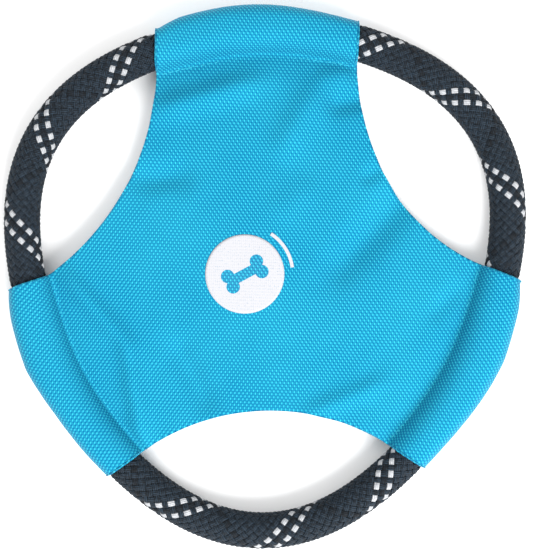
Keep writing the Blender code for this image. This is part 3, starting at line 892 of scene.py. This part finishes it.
def ring_line():
    """The rope's line, with the share of its radius left and the shift of its lay at each point."""
    angle = np.linspace(0.0, TAU, 2881)[:-1]
    points = ring_point(angle)
    from_splice = (angle - SLEEVES[1]["angle"] + math.pi) % TAU - math.pi
    wrapped = eased((WRAP_HALF + 2.0 * MM - np.abs(from_splice) * RING_RADIUS) / (1.5 * MM))
    drawn = 1.0 - SQUEEZE * inside_sleeve(angle)
    drawn -= wrapped * (drawn - (ROPE_RADIUS - WRAP_WALL - 0.2 * MM) / ROPE_RADIUS)
    reach = from_splice / LAY_REACH
    lay = -LAY_SHIFT * reach * np.exp(-0.5 * reach * reach)
    count = len(points)
    mesh = bpy.data.meshes.new("ring_line")
    mesh.from_pydata(points.tolist(), [(i, (i + 1) % count) for i in range(count)], [])
    for key, values in (("drawn", drawn), ("lay", lay)):
        mesh.attributes.new(key, "FLOAT", "POINT").data.foreach_set("value", values)
    return placed("ring_line", mesh)


def braid_tree():
    """Lays the strands of one direction round a line, each weaving over and under."""
    tree = bpy.data.node_groups.new("braid", "GeometryNodeTree")
    open_sockets(tree, Hand="NodeSocketFloat", Leads="NodeSocketFloat",
                 Carriers="NodeSocketInt", Steps="NodeSocketInt", Phase="NodeSocketFloat",
                 Middle="NodeSocketFloat", Wave="NodeSocketFloat", Width="NodeSocketFloat",
                 Thickness="NodeSocketFloat", Tracers="NodeSocketBool",
                 KeepTracers="NodeSocketBool", Sides="NodeSocketInt",
                 Material="NodeSocketMaterial")
    g = Graph(tree)
    given = g.node("NodeGroupInput").outputs
    line = g.node("GeometryNodeMeshToCurve", {"Mesh": given["Geometry"]})
    crossings = g.math("MULTIPLY", g.math("MULTIPLY", given["Leads"], given["Carriers"]), 2.0)
    even = g.node("GeometryNodeResampleCurve", {
        "Curve": line.outputs[0], "Count": g.math("MULTIPLY", crossings, given["Steps"])})
    copies = g.node("GeometryNodeDuplicateElements", domain="SPLINE",
                    inputs={"Geometry": even.outputs[0], "Amount": given["Carriers"]})
    marked = g.kept(copies.outputs[0], "strand", copies.outputs["Duplicate Index"], "INT")
    strand = g.field("strand", "INT")
    tracer = g.math("MULTIPLY", given["Tracers"], g.math("ADD", g.math("COMPARE", strand, 0.0, 0.1),
                                                         g.math("COMPARE", strand, 2.0, 0.1)))
    unwanted = g.math("SUBTRACT", 1.0, g.math("COMPARE", tracer, given["KeepTracers"], 0.1))
    chosen = g.node("GeometryNodeDeleteGeometry", domain="CURVE",
                    inputs={"Geometry": marked, "Selection": unwanted})
    along = g.node("GeometryNodeSplineParameter")
    stored = g.kept(chosen.outputs[0], "along",
                    g.math("MULTIPLY", along.outputs["Length"], math.sqrt(2.0)))
    laps = g.math("ADD", g.math("MULTIPLY", along.outputs["Factor"], given["Leads"]),
                  g.field("lay"))
    round_once = g.math("MULTIPLY", laps, TAU)
    spaced = g.math("DIVIDE", g.math("MULTIPLY", strand, TAU), given["Carriers"])
    turn = g.math("ADD", g.math("MULTIPLY", round_once, given["Hand"]),
                  g.math("ADD", spaced, given["Phase"]))
    weave = g.math("COSINE", g.math("MULTIPLY", round_once, given["Carriers"]))
    weave = g.math("MULTIPLY", g.math("MULTIPLY", weave, given["Hand"]), given["Wave"])
    reach = g.math("MULTIPLY", g.math("ADD", given["Middle"], weave), g.field("drawn"))
    tangent = g.node("GeometryNodeInputTangent").outputs[0]
    upward = g.node("ShaderNodeCombineXYZ", [0.0, 0.0, 1.0]).outputs[0]
    outward = g.vector("NORMALIZE", g.vector("CROSS_PRODUCT", tangent, upward))
    spoke = g.vector("ADD", g.scaled(outward, g.math("COSINE", turn)),
                     g.scaled(upward, g.math("SINE", turn)))
    aimed = g.kept(stored, "spoke", spoke, "FLOAT_VECTOR")
    laid = g.node("GeometryNodeSetPosition", {"Geometry": aimed,
                                              "Offset": g.scaled(spoke, reach)})
    faced = g.node("GeometryNodeSetCurveNormal", mode="FREE",
                   inputs={"Curve": laid.outputs[0], "Normal": g.field("spoke", "FLOAT_VECTOR")})
    loop = g.node("GeometryNodeCurvePrimitiveCircle", {"Resolution": given["Sides"],
                                                       "Radius": 1.0})
    where = g.node("ShaderNodeSeparateXYZ", [g.node("GeometryNodeInputPosition").outputs[0]])
    edged = g.kept(loop.outputs[0], "across", where.outputs[1])
    flatter = g.math("MULTIPLY", g.math("SIGN", where.outputs[0]),
                     g.math("POWER", g.math("ABSOLUTE", where.outputs[0]), 0.8))
    shape = g.node("ShaderNodeCombineXYZ", [
        g.math("MULTIPLY", flatter, g.math("MULTIPLY", given["Thickness"], 0.5)),
        g.math("MULTIPLY", where.outputs[1], g.math("MULTIPLY", given["Width"], 0.5))])
    ribbon = g.node("GeometryNodeSetPosition", {"Geometry": edged, "Position": shape.outputs[0]})
    solid = g.node("GeometryNodeCurveToMesh", {"Curve": faced.outputs[0],
                                               "Profile Curve": ribbon.outputs[0]})
    smooth = g.node("GeometryNodeSetShadeSmooth", {"Geometry": solid.outputs[0]})
    finish_tree(g, smooth.outputs[0], given["Material"])
    return tree


def make_braid(dark, light):
    line = ring_line()
    tree = braid_tree()
    shared = {"Leads": float(LEADS), "Carriers": CARRIERS, "Steps": STEPS_PER_CROSSING,
              "Phase": BRAID_PHASE, "Middle": BRAID_MIDDLE, "Wave": BRAID_WAVE,
              "Thickness": STRAND_THICK, "Sides": STRAND_SIDES}
    kinds = (("braid_right", 1.0, STRAND_WIDTH, True, False, dark),
             ("braid_tracers", 1.0, STRAND_WIDTH, True, True, light),
             ("braid_left", -1.0, CROSSING_WIDTH, False, False, dark))
    made = []
    for name, hand, width, tracers, keep, material in kinds:
        made.append(grown(name, line, tree, {**shared, "Hand": hand, "Width": width,
                                             "Tracers": tracers, "KeepTracers": keep,
                                             "Material": material}))
    bpy.data.objects.remove(line, do_unlink=True)
    return made


def tube_mesh(name, radius, sides, material):
    """Smooth closed tube round the whole rope line."""
    angle = np.linspace(0.0, TAU, 361)[:-1]
    ahead = ring_point(angle + 0.001) - ring_point(angle - 0.001)
    ahead /= np.linalg.norm(ahead, axis=1)[:, None]
    upward = np.array([0.0, 0.0, 1.0])
    outward = np.cross(ahead, upward)
    turn = np.linspace(0.0, TAU, sides + 1)[:-1]
    rings = (ring_point(angle)[:, None, :]
             + radius * (np.cos(turn)[None, :, None] * outward[:, None, :]
                         + np.sin(turn)[None, :, None] * upward))
    index = np.arange(len(angle) * sides).reshape(len(angle), sides)
    after = np.roll(index, -1, axis=0)
    quads = np.stack([index, after, np.roll(after, -1, axis=1), np.roll(index, -1, axis=1)],
                     axis=-1).reshape(-1, 4)
    mesh = bpy.data.meshes.new(name)
    mesh.from_pydata(rings.reshape(-1, 3).tolist(), [], quads.tolist())
    face_outwards(mesh)
    return finished(name, mesh, material)


# ---------------------------------------------------------------- studio

VIEW_HEIGHT = 245.7 * MM
LENS = 100.0
SENSOR = 36.0


def make_camera():
    data = bpy.data.cameras.new("camera")
    data.lens = LENS
    data.sensor_width = SENSOR
    data.clip_start = 0.01
    data.clip_end = 10.0
    camera = placed("camera", data)
    distance = VIEW_HEIGHT * LENS / SENSOR
    camera.location = (0.7 * MM, 0.0, RING_MIDDLE[2] + distance)
    bpy.context.scene.camera = camera


def make_floor():
    mesh = bpy.data.meshes.new("floor")
    half = 3.0
    mesh.from_pydata([(-half, -half, 0.0), (half, -half, 0.0), (half, half, 0.0),
                      (-half, half, 0.0)], [], [(0, 1, 2, 3)])
    material, _, shader = new_tree_material("studio floor")
    shader.inputs["Base Color"].default_value = (0.93, 0.93, 0.93, 1.0)
    shader.inputs["Roughness"].default_value = 0.9
    mesh.materials.append(material)
    placed("floor", mesh)


def make_light(name, place, size, power):
    """A round lamp that faces the middle of the floor."""
    data = bpy.data.lights.new(name, "AREA")
    data.shape = "DISK"
    data.size = size
    data.energy = power
    light = placed(name, data)
    light.location = place
    aim = -np.array(place)
    light.rotation_euler = (math.atan2(math.hypot(aim[0], aim[1]), -aim[2]), 0.0,
                            math.atan2(aim[1], aim[0]) - math.pi / 2)


def make_studio():
    world = bpy.context.scene.world or bpy.data.worlds.new("studio")
    bpy.context.scene.world = world
    world.use_nodes = True
    sky = world.node_tree.nodes["Background"]
    sky.inputs[0].default_value = (1.0, 1.0, 1.0, 1.0)
    sky.inputs[1].default_value = 0.95
    make_light("key", (0.42, -0.80, 0.88), 0.9, 27.0)
    make_light("fill", (-0.5, 0.5, 1.0), 0.9, 5.0)
    bpy.context.scene.view_settings.view_transform = "Standard"


# ---------------------------------------------------------------- assembly

make_camera()
make_floor()
make_studio()

# Both cloths: the bright colour is the painted highlight on the thread crowns, the deep colour the
# cloth's blue with painted shade between them.
face_deep, face_crown_highlight = (0.0, 0.082, 0.22, 1), (0.038, 0.465, 0.57, 1)
face_cloth = cloth_material("face cloth", face_deep, face_crown_highlight, 0.10)
lining_cloth = cloth_material("lining cloth", (0.0, 0.07, 0.17, 1), (0.045, 0.44, 0.60, 1), 0.05)
# Braid and tracer yarns: the bright colour is the painted highlight on the yarn crowns, the deep
# colour painted shade at their edges and in the gaps.
dark_yarn = braid_material("dark braid yarn", (0.0008, 0.001, 0.0015, 1), (0.021, 0.037, 0.056, 1),
                           0.02)
light_yarn = braid_material("tracer yarn", (0.28, 0.29, 0.31, 1), (0.50, 0.51, 0.52, 1), 0.02)
thread = fibre_material("sewing thread", (0.0, 0.20, 0.34, 1), (0.05, 0.50, 0.62, 1))
core_fibre = fibre_material("core fibre", (0.32, 0.30, 0.26, 1), (0.52, 0.49, 0.44, 1))
# Near-black fibre for the tube inside the braid: painted shade that darkens the gaps between the
# strands.
gap_shade_fibre = fibre_material("cover inner side", (0.002, 0.003, 0.005, 1), (0.006, 0.009, 0.013, 1))
tape = fibre_material("splice tape", (0.004, 0.004, 0.005, 1), (0.012, 0.012, 0.014, 1), 300.0, 0.45)
ink = (0.42, 0.42, 0.44, 1)
disc_ink = print_material("print ink with mark", ink, face_deep, face_crown_highlight, True)
stripe_ink = print_material("print ink", ink, face_deep, face_crown_highlight, False)

face = make_panel("face_panel", OUTER, EDGE_FOLD, 1.0, face_cloth)
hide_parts("outer_panel")
rear = make_panel("rear_panel", LINING, EDGE_FOLD + LINING_BACK, -1.0, lining_cloth)
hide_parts("lining_panel")
make_sleeve_seams(stitch_tree(), thread)
make_edge_seams(thread_tree(), thread)
make_print("printed_disc", "print_disc", (0.0, PRINT_RADIUS), (0.0, TAU), disc_ink)
make_print("printed_stripe", "print_arc", (PRINT_ARC_RADIUS - 0.5 * PRINT_ARC_WIDTH,
                                          PRINT_ARC_RADIUS + 0.5 * PRINT_ARC_WIDTH),
           PRINT_ARC_ENDS, stripe_ink)

# The tube inside the braid is painted shade in the gaps between the strands, darker than the yarns
# and hiding the core behind them.
for piece in [*make_braid(dark_yarn, light_yarn),
              tube_mesh("braid_inner_side", 6.5 * MM, 24, gap_shade_fibre)]:
    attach(piece, "rope_ring")
    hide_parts("rope_sheath")

for name, node in frame["nodes"].items():
    if name.startswith("core_strand") or name == "splice_wrap":
        node.data.materials.clear()
        node.data.materials.append(tape if name == "splice_wrap" else core_fibre)
